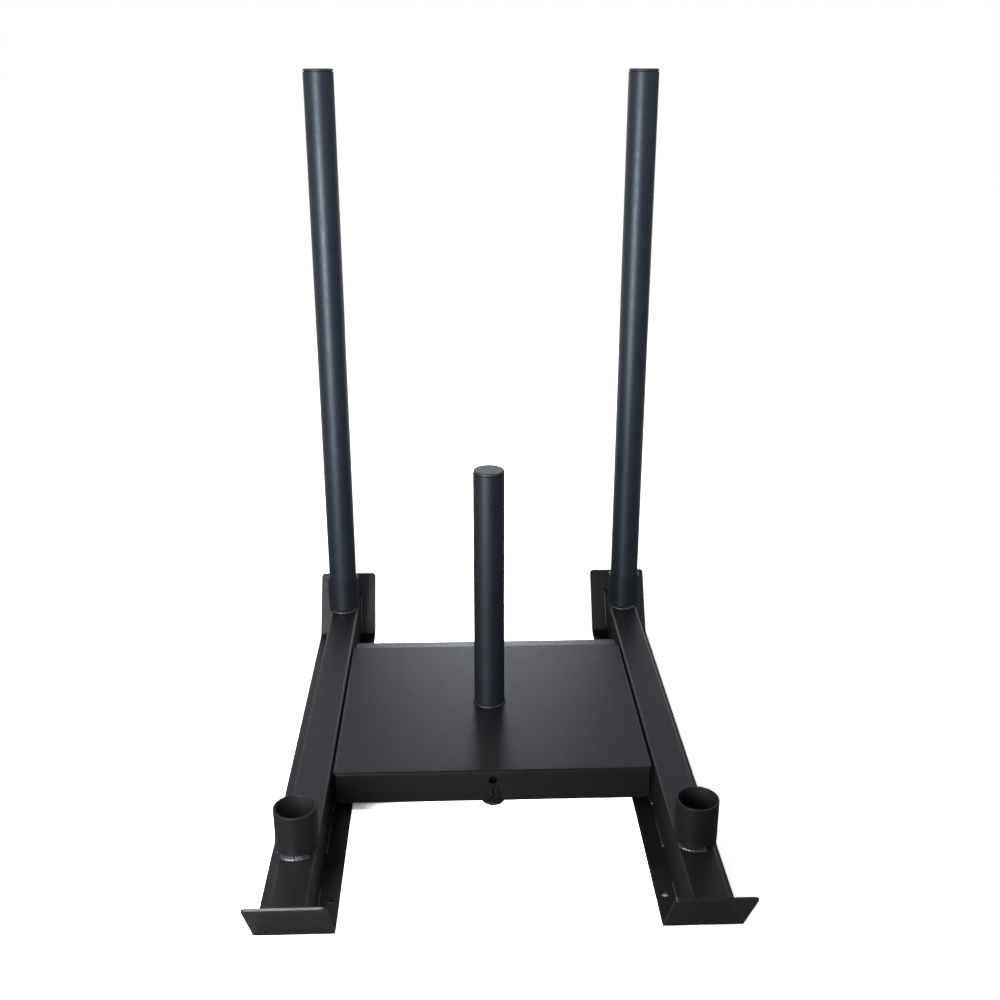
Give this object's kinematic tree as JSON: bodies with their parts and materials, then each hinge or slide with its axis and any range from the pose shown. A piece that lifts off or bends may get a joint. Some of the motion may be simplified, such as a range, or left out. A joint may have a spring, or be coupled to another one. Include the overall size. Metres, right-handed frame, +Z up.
{
  "type": "push sled",
  "caption": "Weight sled on two flat skis with a deck, a post for weight discs, lift-out push poles and spare sockets at the other end.",
  "frame": {"origin": "on the floor, under the middle of the sled's box", "axes": "+Z up, -Y towards the front end with the tow hole and the empty sockets, +Y towards the poles, +X to the right seen from the front"},
  "size_m": [0.629, 0.9742, 1.0331],
  "materials": {
    "powder_coat": "satin black powder coat on welded mild steel",
    "tube_coat": "smooth semi-gloss black coat on round steel tube",
    "cap_plastic": "moulded black polyethylene with a fine grain"
  },
  "bodies": {
    "sled": {"ski_left": "powder_coat", "ski_right": "powder_coat", "runner_tube_left": "powder_coat", "runner_tube_right": "powder_coat", "socket_front_left": "powder_coat", "socket_front_right": "powder_coat", "socket_rear_left": "powder_coat", "socket_rear_right": "powder_coat", "deck_tray": "powder_coat", "cross_member_front": "powder_coat", "cross_member_middle": "powder_coat", "cross_member_rear": "powder_coat", "tow_lug": "powder_coat", "weight_horn": "tube_coat", "horn_cap": "cap_plastic"},
    "left_pole": {"pole_left": "tube_coat", "pole_plug_left": "cap_plastic", "pole_cap_left": "cap_plastic"},
    "right_pole": {"pole_right": "tube_coat", "pole_plug_right": "cap_plastic", "pole_cap_right": "cap_plastic"}
  },
  "joints": [
    {"name": "left_pole_lift", "type": "slide", "parent": "sled", "child": "left_pole", "axis": [0, 0, 1], "range_m": [0, 0.08]},
    {"name": "right_pole_lift", "type": "slide", "parent": "sled", "child": "right_pole", "axis": [0, 0, 1], "range_m": [0, 0.08]}
  ]
}
